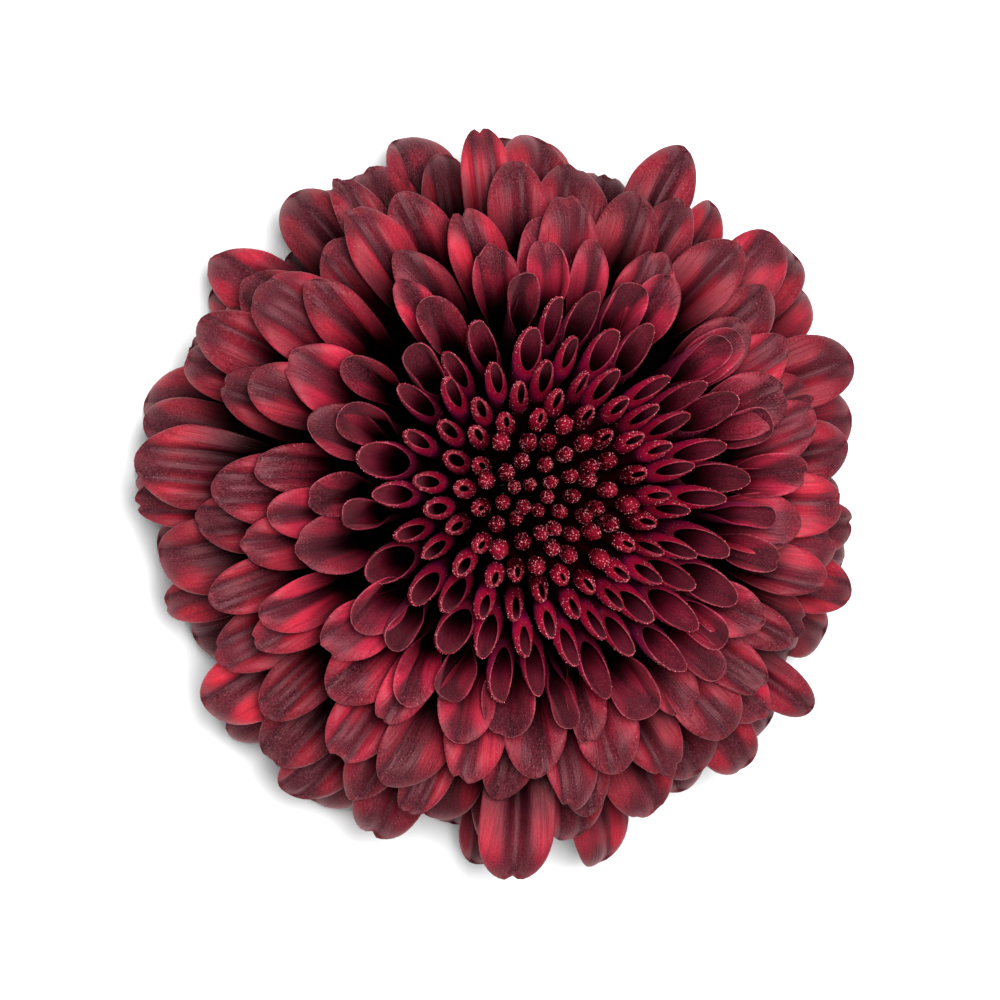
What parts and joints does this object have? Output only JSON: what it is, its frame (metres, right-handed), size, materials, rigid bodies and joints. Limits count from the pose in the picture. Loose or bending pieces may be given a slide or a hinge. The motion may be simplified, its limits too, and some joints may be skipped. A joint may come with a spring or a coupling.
{
  "type": "ball chrysanthemum flower head",
  "caption": "Ball-shaped chrysanthemum head of dark red petals round a tight middle of rolled florets, on a green calyx with a short cut stem, for bouquets and table decoration.",
  "frame": {"origin": "on the surface that the head rests on, under the middle of its outline, on the flower's axis", "axes": "+Z along the flower's axis, out of its face and away from the stem; +X and +Y across the head"},
  "size_m": [0.1013, 0.1015, 0.0494],
  "materials": {
    "ray_petals": "velvety, dark red with darker bases and thin pale rims",
    "centre_petals": "crimson, sparkling with fine papillae at the tips",
    "calyx": "matt green, fine-haired, with pale dry bract edges"
  },
  "bodies": {
    "root": {"ray_florets": "ray_petals", "centre_florets": "centre_petals", "calyx_and_stem": "calyx"}
  },
  "joints": []
}
